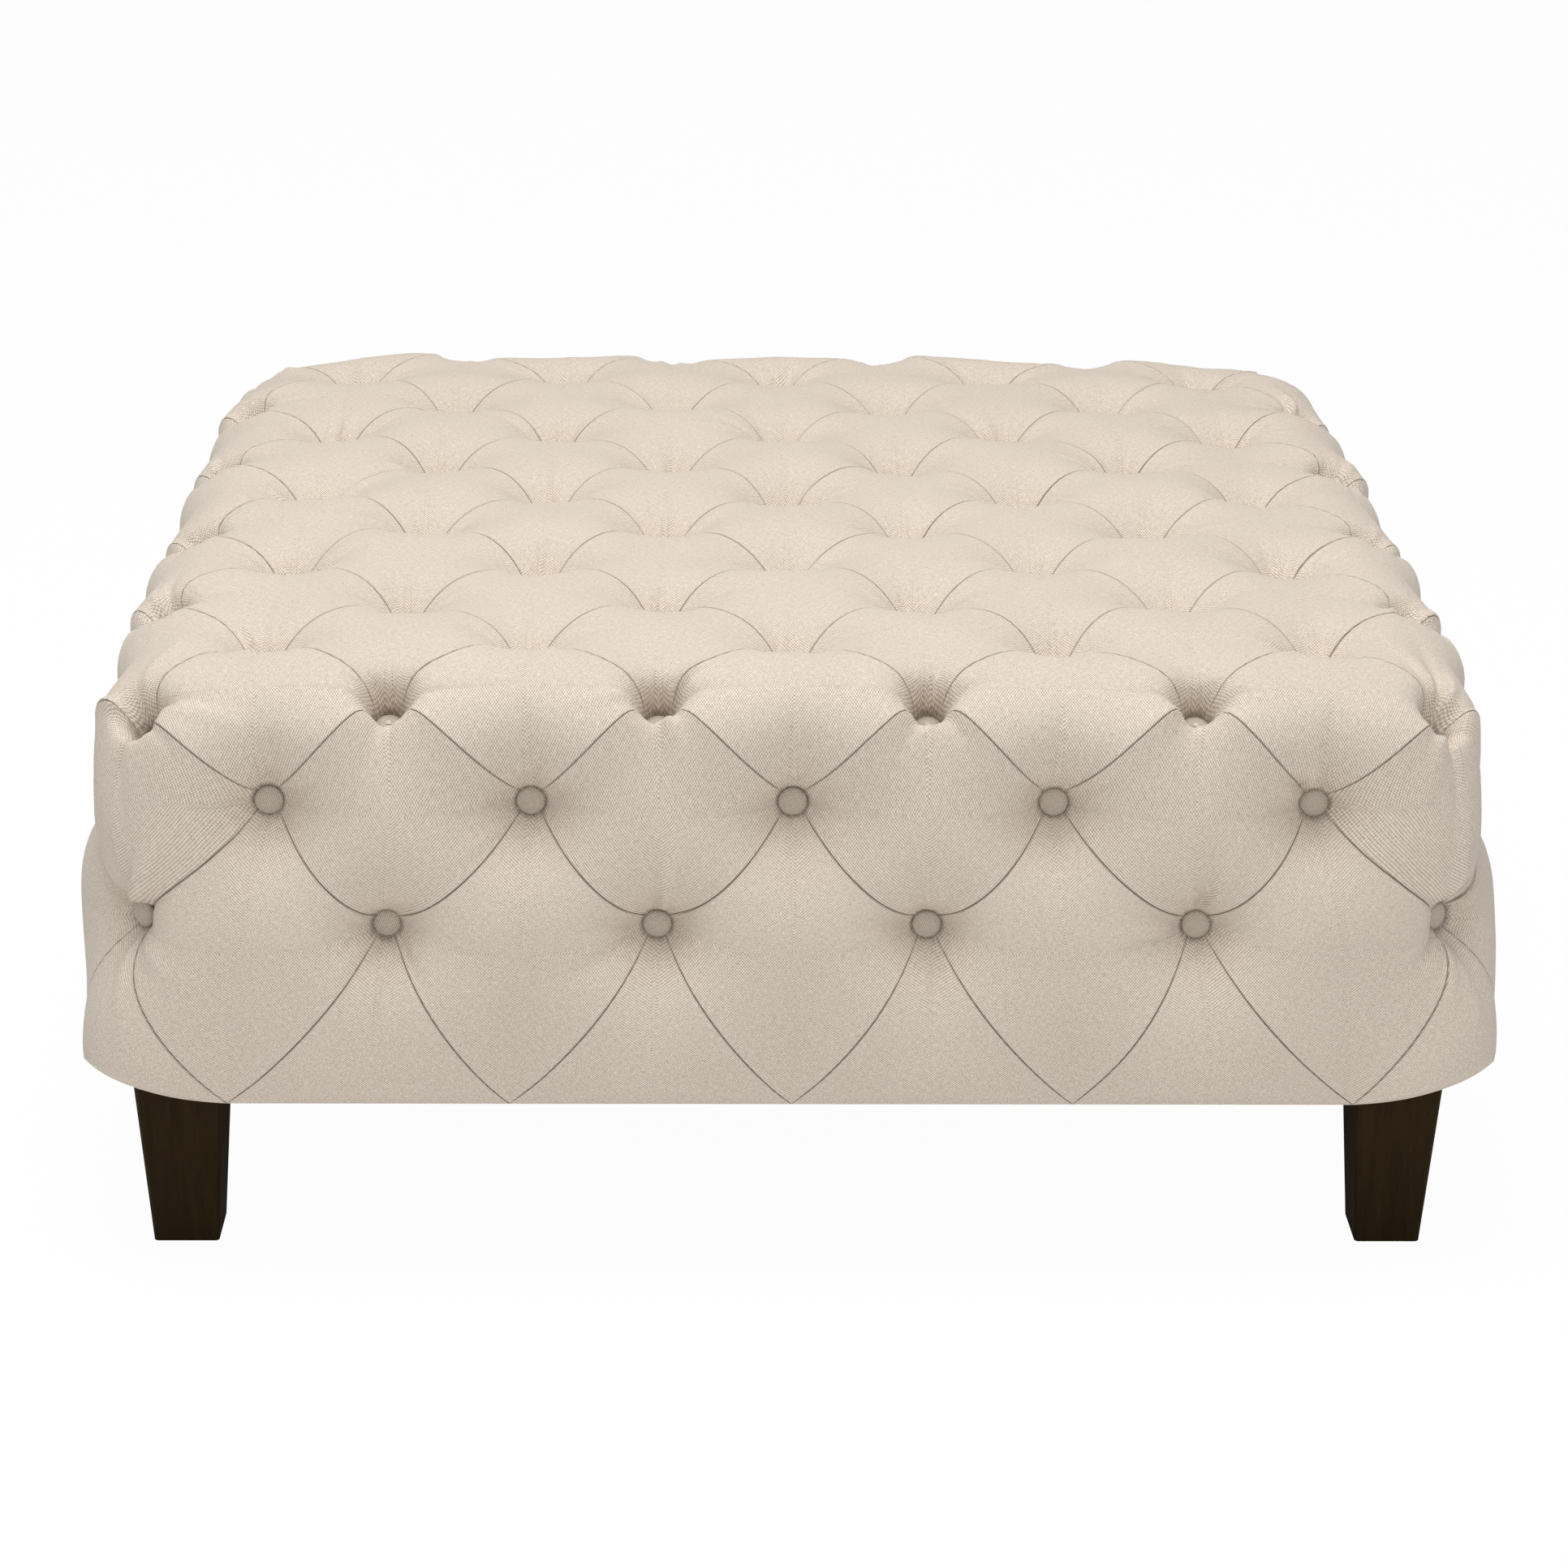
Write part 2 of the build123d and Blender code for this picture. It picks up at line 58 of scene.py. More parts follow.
# Rows of the sides: way out from the top's last row, height over the hem, tilt in degrees, and
# inset and drop at the corners
ROWS = {
    "rim": (67, 256, 60, 0, 12),
    "upper": (78, 205, 0, 0, 0),
    "lower": (94, 123, 0, 17, 0),
    "hem": (118, 0, 0, 0, 0),
}
ROW_DROP = {"rim": 72.0, "upper": 114.0, "lower": 198.0, "hem": 323.0}  # cloth from the top row

# Cloth over the seats of a row, before its buttons draw it in
LIFT = {"top": 31.0, "rim": 38.0, "upper": 31.0, "lower": 35.0, "hem": 0.0}

# Dimples: spread above and below a button, cloth under it, and their shape
DIMPLE = {"top": (23.0, 19.0), "rim": (9.5, 6.5), "upper": (25.0, 21.0), "lower": (25.0, 21.0)}
SEAT_LEVEL = {"top": -2.0, "rim": -4.0, "upper": 0.0, "lower": 0.0}
DIMPLE_POWER, DIMPLE_FLOOR, DIMPLE_REACH = 1.1, 9.0, 130.0

# Crowns of the pillows, how far the hem swells at a corner, and the scatter and form of the crowns
TOP_CROWN, RIM_CROWN = 34.0, 51.0
UPPER_CROWN, UPPER_CORNER_CROWN = 37.0, 61.0
LOWER_CROWN, HEM_CROWN, HEM_CORNER_CROWN = 41.0, 24.0, 54.0
HEM_CORNER_SWELL = 27.0
CROWN_SCATTER = 1.2
DOME_POWER = 2.0

# Rise and sag of the pleats between two rows
PLEATS = {
    ("top", "top"): (2, 0), ("rim", "top"): (4, 0), ("rim", "upper"): (17, 0),
    ("lower", "upper"): (5, 7), ("hem", "lower"): (13, 6), ("hem", "hem"): (0, 0),
}
GROOVE, GROOVE_WIDTH = 1.7, 1.0
GROOVE_START = 9  # how fast a groove deepens from a button
HOLE = 4.0  # radius of the cloth's hole under a button

# Painted shade: a dark line in the cloth round each button, where the gap under its rolled edge lies in
# shadow
RING_REACH, RING_RADIUS, RING_FADE = 20, 11.9, 1.5

# Fineness: steps round a hole and along a pleat, and the rings of a pillow, closer near its pleats
ARC_STEPS, PLEAT_STEPS = 4, 24
EVEN_RINGS, EVEN_STEPS = 19, 24
CLOSE_RINGS = [0.82, 0.847, 0.873, 0.897, 0.918, 0.936, 0.952, 0.966, 0.978, 0.987, 0.993, 0.9967, 1.0]
RADII = [k / EVEN_STEPS for k in range(1, EVEN_RINGS + 1)] + CLOSE_RINGS
JOIN_METRES = 2e-5  # points closer than this become one

# Uneven stuffing: a sum of long waves, pushed away from a block in the middle of the ottoman
WAVES, WAVE_HEIGHT, WAVE_LENGTHS = 18, 0.45, (70, 190)
CORE_REACH, CORE_LOW, CORE_HIGH = 360.0, 200.0, 330.0
HEM_STILL = 25.0  # height over which the unevenness dies out above the hem

# Folds that run out from the buttons
FOLDS, CORNER_FOLDS = (5, 9), 3
FOLD_REACHES, FOLD_HEIGHTS = (14, 38), (1.8, 4.0)
CORNER_REACH_SHARE, CORNER_HEIGHT_SHARE = 1.6, 1.3
UPRIGHT_SHARE, UPRIGHT_SCATTER = 0.5, 0.5  # of the folds at side buttons, and radians off upright
FOLD_START, FOLD_RISE, FOLD_FADE = 10, 8, 16  # start, rise and first fading out from the button
FOLD_WIDTH, FOLD_SPREAD_SHARE = 2.8, 0.06
SKEW = (0.3, 0.5, 0.8)  # any way that no button faces

# Cloth turned under the base, which stops at the legs
HEM_FOLD_REACH, LEG_INNER, LEG_OUTER = 424.0, 386.0, 449.5
HEM_ROUND, HEM_ROLL = 4, 0.2  # inwards and down, next to the hem's edge
HEM_SLACK = 0.01  # a point this much over the hem still counts as its edge

# Buttons: radius and height of the rings from the back to the face, and the foot's level by row
BUTTON_RINGS = ((5.5, 0.6), (8.4, 0.9), (9.6, 2.2), (9.9, 3.6), (9.5, 5.0), (8.5, 6.1), (7.0, 6.9),
                (4.9, 7.5), (2.5, 7.85))
BUTTON_TIP, BUTTON_SIDES = 8.0, 36
BUTTON_LEVEL = {"top": -4.0, "rim": -8.5, "upper": -3.2, "lower": -3.2}
BUTTON_TWIST, BUTTON_LEAN = 0.5, 0.03
RIPPLES, RIPPLE_SHARE, RIPPLE_TWIST, RIPPLE_TOP = 7, 0.012, 9, 4
GATHER_SHARE = 1.3  # cloth drawn together behind the face
FACING_UP = 0.99  # a button whose way out rises more than this lies on the top

# Dust cover, cut out round the legs
DUST_REACH, DUST_DROP, DUST_SAG = 442.0, 0.8, 1.2
DUST_HEIGHT = HEM_HEIGHT - DUST_DROP
NOTCH_LOW = 387.5  # inner edge of the notches at the legs
DUST_STEPS, NOTCH_STEPS, SAG_POWER = 61, 6, 4
DUST_WAVE, DUST_WAVE_X, DUST_WAVE_Y = 0.3, 23, 31

# Linen, in metres: thread spacing and how far threads wander; then shares of the tone
THREAD, WANDER, WANDER_SCALE = 0.0019, 0.0006, 60.0
SLUB_STRETCHES = ((1500.0, 280.0, 1.0), (280.0, 1500.0, 1.0))
CROSS_SHARE, SLUB_SHARE, BLOTCH_SHARE, TONE_SHIFT = 0.55, 0.95, 0.12, 0.51
# Painted shade: the last two values on the next line say how far, and towards what dark colour, the
# cloth is darkened in the pleats' grooves and round the buttons
BLOTCH_SCALE, SHADE_SHARE, SHADE_COLOUR = 14.0, 0.66, (0.10, 0.08, 0.06, 1)

# Bumps of the materials, and the spacing of the webbing's threads, in metres
LINEN_BUMP, WOOD_BUMP, WEBBING_BUMP = 0.0005, 0.0004, 0.0004
GRAIN_BUMP, FOAM_BUMP = 0.0003, 0.0008
WEBBING_THREAD = 0.0024

# Floor, light and camera, in metres and watts, and the lens and its sensor in millimetres
FLOOR_WHITE = 0.97  # how far the floor is white to the camera; the rest keeps the shadow
FLOOR_REACH = 30.0
FLOOR_DARK, FLOOR_LIGHT = (0.93, 0.93, 0.93), (0.95, 0.95, 0.95)
WHITE, AMBIENT = (1, 1, 1, 1), 0.42
LIGHT_TARGET = (0, 0, 0.3)
# Each light's name, place, size and power
LIGHTS = (("overhead", (-0.3, -0.5, 3.4), 2.2, 80), ("front", (0.6, -3.6, 2.2), 2.6, 25))
CAMERA_PLACE = (-0.0524, -2.9019, 1.2428)
PITCH_DOWN, YAW, ROLL = (math.radians(angle) for angle in (20.089, 1.081, 0.530))
LENS, SENSOR = 89.97, 36


# Net of buttons


def unit(v):
    """Vector of the same way, one long."""
    return v / np.linalg.norm(v)


def turned(v, side):
    """A point of the front, turned to another side."""
    x, y, z = v
    for _ in range(side % 4):
        x, y = -y, x
    return np.array((x, y, z), float)


def side_node(row, side, place):
    """Name of a button of a side, where each corner belongs to one side only."""
    if place == -COUNT:
        return (row, (side - 1) % 4, COUNT)
    return (row, side % 4, place)


def top_node(across, along):
    """Name of a button of the top, or of the rim where the top ends."""
    ways = ((across, -along), (along, across), (-across, along), (-along, -across))
    for side, (place, out) in enumerate(ways):
        if out == COUNT:
            return side_node("rim", side, place)
    return ("top", across, along)


def spot(node):
    """Middle of a button's seat, and the way it faces."""
    if node[0] == "top":
        return np.array((node[1] * PITCH / 2, node[2] * PITCH / 2, SEAT_HEIGHT)), UP
    way_out, over_hem, tilt, inset, drop = ROWS[node[0]]
    reach, height = TOP_REACH + way_out, HEM_HEIGHT + over_hem
    side, place = node[1:]
    if place == COUNT:
        point, out = (reach - inset, inset - reach, height - drop), unit(np.array((1.0, -1.0, 0.0)))
    else:
        x = place * PITCH / 2 if node[0] == "rim" else place / COUNT * reach
        point, out = (x, -reach, height), np.array((0.0, -1.0, 0.0))
    out = out * math.cos(math.radians(tilt)) + UP * math.sin(math.radians(tilt))
    return turned(point, side), turned(out, side)


def way_to(node, other):
    """Way along the seat of one button towards another."""
    point, out = spot(node)
    way = spot(other)[0] - point
    return unit(way - out * way.dot(out))


def top_cloth(across, along):
    """Place of a top or rim button on the flat cloth."""
    def stretch(k):
        return math.copysign(TOP_REACH + ROW_DROP["rim"], k) if abs(k) == COUNT else k * PITCH / 2
    return stretch(across), stretch(along)


def side_cloth(row, place):
    """Place of a side button on the flat cloth."""
    drop = 0 if row == "top" else ROW_DROP[row]
    return place * PITCH / 2, -TOP_REACH - drop


def side_pillow(side, steps, crown, swell):
    """Pillow of a side, from the row and place of each of its buttons."""
    nodes = []
    for row, place in steps:
        if row == "top":
            x, y, _ = turned((place, 1 - COUNT, 0), side)
            nodes.append(("top", int(x), int(y)))
        elif place > COUNT:
            nodes.append(side_node(row, side + 1, place - 2 * COUNT))
        else:
            nodes.append(side_node(row, side, place))
    return nodes, [side_cloth(*step) for step in steps], crown, swell


def pillows():
    """Each pillow: its buttons as seen from outside, their places on the cloth, crown, swell."""
    meshes = []
    for across in range(1 - COUNT, COUNT):
        for along in range(1 - COUNT, COUNT):
            if (across + along) % 2:
                ways = [(across + i, along + j) for i, j in ((0, 1), (-1, 0), (0, -1), (1, 0))]
                nodes, cloth = [top_node(*way) for way in ways], [top_cloth(*way) for way in ways]
                meshes.append((nodes, cloth, TOP_CROWN, 0))
    for side in range(4):
        def add(steps, crown, swell=0, side=side):
            meshes.append(side_pillow(side, steps, crown, swell))

        for m in WHOLE_ROW:
            add((("top", m), ("rim", m - 1), ("upper", m), ("rim", m + 1)), RIM_CROWN)
            add((("upper", m), ("lower", m - 1), ("hem", m), ("lower", m + 1)), LOWER_CROWN)
        for m in HALF_ROW:
            add((("rim", m), ("upper", m - 1), ("lower", m), ("upper", m + 1)), UPPER_CROWN)
            add((("lower", m), ("hem", m - 1), ("hem", m + 1)), HEM_CROWN)
        m = COUNT
        add((("rim", m), ("upper", m - 1), ("lower", m), ("upper", m + 1)), UPPER_CORNER_CROWN)
        add((("lower", m), ("hem", m - 1), ("hem", m + 1)), HEM_CORNER_CROWN, HEM_CORNER_SWELL)
    return meshes


def buttons_of(row):
    """Buttons of a row, in a fixed order."""
    return sorted({node for mesh in pillows() for node in mesh[0] if node[0] == row})


PITS = sorted({node for mesh in pillows() for node in mesh[0] if node[0] != "hem"})


# Cover


def seat_arc(before, node, after):
    """Fine points round the hole at a button inside one pillow, from one pleat to the next."""
    point, out = spot(node)
    point = point + out * LIFT[node[0]]
    if node[0] == "hem":
        return [point]
    first, last = way_to(node, before), way_to(node, after)
    turn = math.atan2(np.cross(last, first).dot(out), first.dot(last)) % (2 * math.pi)
    side = np.cross(out, last)
    points = []
    for k in range(ARC_STEPS + 1):
        angle = turn * (1 - k / ARC_STEPS)
        points.append(point + (last * math.cos(angle) + side * math.sin(angle)) * HOLE)
    return points


def pillow_edge(nodes, cloth, swell):
    """Edge of a pillow: points, way out, depth of the groove as a share, places on the cloth."""
    points, outs, shares, places = [], [], [], []
    for k, node in enumerate(nodes):
        after, before = nodes[(k + 1) % len(nodes)], nodes[k - 1]
        here, there, back = (np.array(cloth[i % len(nodes)], float) for i in (k, k + 1, k - 1))
        out = spot(node)[1]
        arc = seat_arc(before, node, after)
        for step, point in enumerate(arc):
            share = step / ARC_STEPS
            towards = unit(back - here) * (1 - share) + unit(there - here) * share
            points.append(point)
            outs.append(out)
            shares.append(0.0)
            places.append(here if node[0] == "hem" else here + towards * HOLE)
        hem = node[0] == "hem" and after[0] == "hem"
        start, end = arc[-1], seat_arc(node, after, node)[0]
        middle = unit(out + spot(after)[1])
        rise, sag = PLEATS[tuple(sorted((node[0], after[0])))]
        rise = swell if hem else rise
        for step in range(1, PLEAT_STEPS):
            s = (1 - math.cos(math.pi * step / PLEAT_STEPS)) / 2
            points.append(start + (end - start) * s + (middle * rise - UP * sag) * 4 * s * (1 - s))
            outs.append(middle)
            ending = GROOVE_START * (1 - s) if after[0] != "hem" else 1.0
            shares.append(0.0 if hem else min(1.0, GROOVE_START * s, ending))
            places.append(here + (there - here) * s)
    return np.array(points), np.array(outs), np.array(shares), np.array(places)


def pillow_grid(nodes, cloth, crown, swell):
    """Points of a pillow from its crown out to its edge, their places on the cloth, its grooves, and
    the shade painted along them.
    """
    edge, outs, shares, places = pillow_edge(nodes, cloth, swell)
    spots = [spot(node) for node in nodes]
    if len(nodes) == 3:
        spots.append(((spots[1][0] + spots[2][0]) / 2, spots[0][1]))
        cloth = list(cloth) + [np.mean(cloth[1:], axis=0)]
    out = unit(sum(way for _, way in spots))
    top = sum(point for point, _ in spots) / len(spots) + out * crown
    centre = np.mean(cloth, axis=0)
    way = edge - top
    depth = way @ out
    across = way - depth[:, None] * out
    length = np.linalg.norm(way, axis=1)
    rings, uvs, sinks, painted_shades = [], [], [], []
    for t in RADII:
        near = np.clip(1 - (1 - t) * length / GROOVE_WIDTH, 0, 1)
        rings.append(top + across * t + (depth * t**DOME_POWER)[:, None] * out)
        sinks.append(-(GROOVE * shares * near**2)[:, None] * outs)
        # painted shade along each pleat's groove, darkest at its bottom
        painted_shades.append(shares * near)
        uvs.append(centre + (places - centre) * t)
    return top, np.array(rings), centre, np.array(uvs), np.array(sinks), np.array(painted_shades)


def pillow_faces(base, count):
    """Faces of a pillow whose crown is point number base, and whose rings have count points."""
    faces = []
    for k in range(count):
        after = (k + 1) % count
        faces.append((base, base + 1 + k, base + 1 + after))
        for r in range(len(RADII) - 1):
            a = base + 1 + r * count
            b = a + count
            faces.append((a + k, b + k, b + after, a + after))
    return faces


def dimples(verts):
    """The cloth, drawn in to the seat of each button."""
    for node in PITS:
        seat, out = spot(node)
        near = np.flatnonzero(((verts - seat) ** 2).sum(1) < DIMPLE_REACH**2)
        way = verts[near] - seat
        height = way @ out
        flat = way - height[:, None] * out
        radius = np.linalg.norm(flat, axis=1)
        above, below = DIMPLE[node[0]]
        upward = (flat @ unit(UP - out * out[2] + NUDGE)) / np.maximum(radius, SMALL)
        fall = np.maximum(radius - DIMPLE_FLOOR, 0) / (below + (above - below) * (1 + upward) / 2)
        share = np.exp(-(fall**DIMPLE_POWER))
        verts[near] -= (np.maximum(height - SEAT_LEVEL[node[0]], 0) * share)[:, None] * out
    return verts


def rings_round_buttons(verts, painted_shade):
    """The painted shade along the pleats, with a line of painted shade added in the cloth round each
    button.
    """
    for node in PITS:
        point, out = spot(node)
        near = np.flatnonzero(((verts - point) ** 2).sum(1) < RING_REACH**2)
        radius = np.linalg.norm(np.cross(verts[near] - point, out), axis=1)
        painted_shade[near] = np.maximum(painted_shade[near], np.clip((RING_RADIUS - radius) / RING_FADE, 0, 1))
    return painted_shade


def away(verts):
    """Way out of the body of the ottoman at each point."""
    core = np.clip(verts, (-CORE_REACH, -CORE_REACH, CORE_LOW), (CORE_REACH, CORE_REACH, CORE_HIGH))
    way = verts - core
    way[:, 2] = np.maximum(way[:, 2], 0)
    return way / np.maximum(np.linalg.norm(way, axis=1), SMALL)[:, None]


def unevenness(verts):
    """Uneven stuffing, and small folds that run out from each button."""
    shift = np.zeros(len(verts))
    for _ in range(WAVES):
        wave = unit(rng.normal(size=3)) * 2 * math.pi / rng.uniform(*WAVE_LENGTHS)
        shift += WAVE_HEIGHT * np.sin(verts @ wave + rng.uniform(0, 2 * math.pi))
    move = away(verts) * shift[:, None]
    for node in PITS:
        seat, out = spot(node)
        corner = node[0] != "top" and node[-1] == COUNT
        reach_share, height_share = (CORNER_REACH_SHARE, CORNER_HEIGHT_SHARE) if corner else (1, 1)
        near = np.flatnonzero(((verts - seat) ** 2).sum(1) < DIMPLE_REACH**2)
        way = verts[near] - seat
        flat = way - (way @ out)[:, None] * out
        first = unit(np.cross(out, SKEW))
        second = np.cross(out, first)
        x, y = flat @ first, flat @ second
        radius = np.hypot(x, y)
        upwards = math.atan2(np.dot(UP, second), np.dot(UP, first))
        for _ in range(rng.integers(*FOLDS) + CORNER_FOLDS * corner):
            angle, reach = rng.uniform(0, 2 * math.pi), rng.uniform(*FOLD_REACHES) * reach_share
            if node[0] in ("upper", "lower") and rng.uniform() < UPRIGHT_SHARE:
                angle = upwards + rng.normal(0, UPRIGHT_SCATTER)
            along = x * math.cos(angle) + y * math.sin(angle)
            beside = y * math.cos(angle) - x * math.sin(angle)
            height = rng.uniform(*FOLD_HEIGHTS) * rng.choice((-1, 1)) * height_share
            fade = np.exp(-np.maximum((radius - FOLD_FADE) / reach, 0) ** 2)
            size = np.clip((radius - FOLD_START) / FOLD_RISE, 0, 1) * fade
            width = FOLD_WIDTH + FOLD_SPREAD_SHARE * radius
            fold = height * size * np.exp(-((beside / width) ** 2)) * (along > 0)
            move[near] += fold[:, None] * out
    return verts + move * np.clip((verts[:, 2:] - HEM_HEIGHT) / HEM_STILL, 0, 1)


def hem_turned_in(edges):
    """Cloth turned under the base, from the hem inwards."""
    verts, faces, uvs = [], [], []
    for edge in edges:
        base = len(verts)
        for x, y, z in edge:
            stop = LEG_OUTER if min(abs(x), abs(y)) > LEG_INNER else HEM_FOLD_REACH
            inner = [math.copysign(min(abs(v), stop), v) for v in (x, y)]
            shrink = np.array((x, y)) * (1 - HEM_ROUND / max(abs(x), abs(y)))
            verts += [(x, y, z), (*shrink, z - HEM_ROLL), (*inner, z)]
            uvs += [(x, y), tuple(shrink), tuple(inner)]
        for k in range(len(edge) - 1):
            for j in (0, 1):
                a = base + 3 * k + j
                faces.append((a, a + 1, a + 4, a + 3))
    return np.array(verts, float), faces, np.array(uvs, float)


def cloth_mesh(name):
    """The whole cover in one mesh, with its places on the cloth as a UV map."""
    verts, faces, uvs, sinks, painted_shades, hems = [], [], [], [], [], []
    base = 0
    for nodes, cloth, crown, swell in pillows():
        crown += rng.normal(0, CROWN_SCATTER)
        top, rings, centre, places, sink, painted_shade = pillow_grid(nodes, cloth, crown, swell)
        count = rings.shape[1]
        verts += [top[None], rings.reshape(-1, 3)]
        sinks += [np.zeros((1, 3)), sink.reshape(-1, 3)]
        painted_shades += [np.zeros(1), painted_shade.ravel()]
        uvs += [centre[None], places.reshape(-1, 2)]
        faces += pillow_faces(base, count)
        if len(nodes) == 3:
            last = base + 1 + (rings.shape[0] - 1) * count
            hems.append(last + np.flatnonzero(rings[-1][:, 2] < HEM_HEIGHT + HEM_SLACK))
        base += 1 + rings.shape[0] * count
    verts, uvs = np.vstack(verts), np.vstack(uvs)
    verts = dimples(verts)
    painted_shade = rings_round_buttons(verts, np.concatenate(painted_shades))
    verts = unevenness(verts) + np.vstack(sinks)
    under, under_faces, under_uvs = hem_turned_in([verts[index] for index in hems])
    faces += [tuple(base + i for i in face) for face in under_faces]
    verts, uvs = np.vstack([verts, under]), np.vstack([uvs, under_uvs])
    painted_shade = np.concatenate([painted_shade, np.zeros(len(under))])
    mesh = bpy.data.meshes.new(name)
    mesh.from_pydata((verts * MM).tolist(), [], faces)
    layer = mesh.uv_layers.new(name="cloth")
    index = np.zeros(len(mesh.loops), np.int32)
    mesh.loops.foreach_get("vertex_index", index)
    layer.data.foreach_set("uv", (uvs[index] * MM).astype(np.float32).ravel())
    # shade painted into the cloth's colour along the pleats and round the buttons
    mesh.attributes.new("painted_shade", "FLOAT", "POINT").data.foreach_set("value", painted_shade.astype(np.float32))
    joined = bmesh.new()
    joined.from_mesh(mesh)
    bmesh.ops.remove_doubles(joined, verts=joined.verts, dist=JOIN_METRES)
    joined.to_mesh(mesh)
    joined.free()
    return mesh


def new_object(name, mesh, material, smooth=True):
    """New object in the scene, with one material."""
    piece = bpy.data.objects.new(name, mesh)
    bpy.context.scene.collection.objects.link(piece)
    mesh.materials.append(material)
    if smooth:
        mesh.shade_smooth()
    return piece


# Materials


class Nodes:
    """Short way to make and link the nodes of a material."""

    def __init__(self, name):
        self.material = bpy.data.materials.new(name)
        self.material.use_nodes = True
        self.tree = self.material.node_tree
        self.shader = self.tree.nodes["Principled BSDF"]

    def plug(self, socket, value):
        if isinstance(value, bpy.types.NodeSocket):
            self.tree.links.new(value, socket)
        else:
            socket.default_value = value

    def add(self, kind, inputs=None, **settings):
        node = self.tree.nodes.new("ShaderNode" + kind)
        for key, value in settings.items():
            setattr(node, key, value)
        for key, value in (inputs or {}).items():
            self.plug(node.inputs[key], value)
        return node

    def maths(self, operation, *values):
        return self.add("Math", dict(enumerate(values)), operation=operation).outputs[0]

    def vector(self, operation, *values):
        return self.add("VectorMath", dict(enumerate(values)), operation=operation).outputs[0]

    def object_place(self):
        return self.add("TexCoord").outputs["Object"]

    def noise(self, place, scale, detail, output="Fac", **more):
        inputs = {"Vector": place, "Scale": scale, "Detail": detail, **more}
        return self.add("TexNoise", inputs).outputs[output]

    def weave(self, place, spacing):
        """Threads that cross along the first two directions of a place."""
        parts = self.add("SeparateXYZ", {0: place}).outputs
        turn = 2 * math.pi / spacing
        return self.maths("MULTIPLY", *(self.maths("SINE", self.maths("MULTIPLY", parts[k], turn))
                                        for k in (0, 1)))

    def blend(self, first, first_share, second, second_share):
        return self.maths("ADD", self.maths("MULTIPLY", first, first_share),
                          self.maths("MULTIPLY", second, second_share))

    def ramp(self, value, *stops):
        """Colour between two stops, each a place and a colour."""
        node = self.add("ValToRGB", {"Fac": value})
        for element, (place, colour) in zip(node.color_ramp.elements, stops):
            element.position = place
            element.color = (*colour, 1)
        return node.outputs["Color"]

    def link(self, output, name):
        self.tree.links.new(output, self.shader.inputs[name])

    def values(self, **numbers):
        """Values on the shader itself, with _ for the spaces in their names."""
        for name, number in numbers.items():
            self.shader.inputs[name.replace("_", " ")].default_value = number

    def bump(self, height, distance, strength):
        node = self.add("Bump", {"Height": height, "Distance": distance, "Strength": strength})
        self.link(node.outputs["Normal"], "Normal")


def linen(name, dark, light):
    """Plain woven linen: threads both ways, thick places in them, and soft blotches; shade is painted
    into it along the pleats and round the buttons.
    """
    n = Nodes(name)
    uv = n.add("UVMap", uv_map="cloth").outputs["UV"]
    drift = n.noise(uv, WANDER_SCALE, 2.0, output="Color")
    place = n.vector("ADD", uv, n.vector("MULTIPLY", drift, (WANDER, WANDER, 0)))
    cross = n.weave(place, THREAD)
    slub = n.maths("ADD", *(n.noise(n.vector("MULTIPLY", uv, stretch), 1.0, 2.0, Roughness=0.6)
                            for stretch in SLUB_STRETCHES))
    tone = n.blend(cross, CROSS_SHARE, slub, SLUB_SHARE)
    blotch = n.noise(uv, BLOTCH_SCALE, 3.0)
    tone = n.maths("ADD", tone, n.maths("MULTIPLY", blotch, BLOTCH_SHARE))
    tone = n.maths("SUBTRACT", tone, TONE_SHIFT)
    cloth = n.ramp(tone, (0.0, dark), (1.0, light))
    # Painted shade: the cloth drawn towards a dark brown along the pleats' grooves and round each
    # button
    painted_shade = n.add("Attribute", attribute_name="painted_shade").outputs["Fac"]
    shade_share = n.maths("MULTIPLY", painted_shade, SHADE_SHARE)
    shaded = n.add("Mix", {"Factor": shade_share, "A": cloth, "B": SHADE_COLOUR}, data_type="RGBA")
    n.link(shaded.outputs["Result"], "Base Color")
    n.values(Roughness=0.92, Sheen_Weight=0.1, Sheen_Roughness=0.5, Specular_IOR_Level=0.2)
    n.bump(n.maths("ADD", n.maths("MULTIPLY", cross, 0.35), slub), LINEN_BUMP, 0.7)
    return n.material


def wood(name, dark, light, rough, coat, along=2, shine=0.4):
    """Wood with its grain along one axis."""
    n = Nodes(name)
    place = n.object_place()

    def long(across_grain, along_grain):
        stretch = [across_grain] * 3
        stretch[along] = along_grain
        return n.vector("MULTIPLY", place, stretch)

    grain = n.noise(long(55.0, 3.0), 1.0, 6.0, Roughness=0.6, Distortion=0.6)
    pore = n.noise(long(900.0, 18.0), 1.0, 2.0)
    tone = n.blend(grain, 0.75, pore, 0.25)
    n.link(n.ramp(tone, (0.3, dark), (0.72, light)), "Base Color")
    n.link(n.maths("ADD", n.maths("MULTIPLY", pore, 0.15), rough), "Roughness")
    n.values(Specular_IOR_Level=shine, Coat_Weight=coat, Coat_Roughness=0.25)
    n.bump(tone, WOOD_BUMP, 0.35)
    return n.material


def grained(name, dark, light, scale, rough, metal=0.0, depth=GRAIN_BUMP):
    """Plain stuff with a fine grain, such as foam, felt, plastic or plated steel."""
    n = Nodes(name)
    place = n.object_place()
    fine, broad = n.noise(place, scale, 4.0), n.noise(place, scale / 12, 2.0)
    n.link(n.ramp(n.blend(fine, 0.6, broad, 0.4), (0.3, dark), (0.7, light)), "Base Color")
    n.values(Roughness=rough, Metallic=metal)
    n.bump(fine, depth, 0.5)
    return n.material


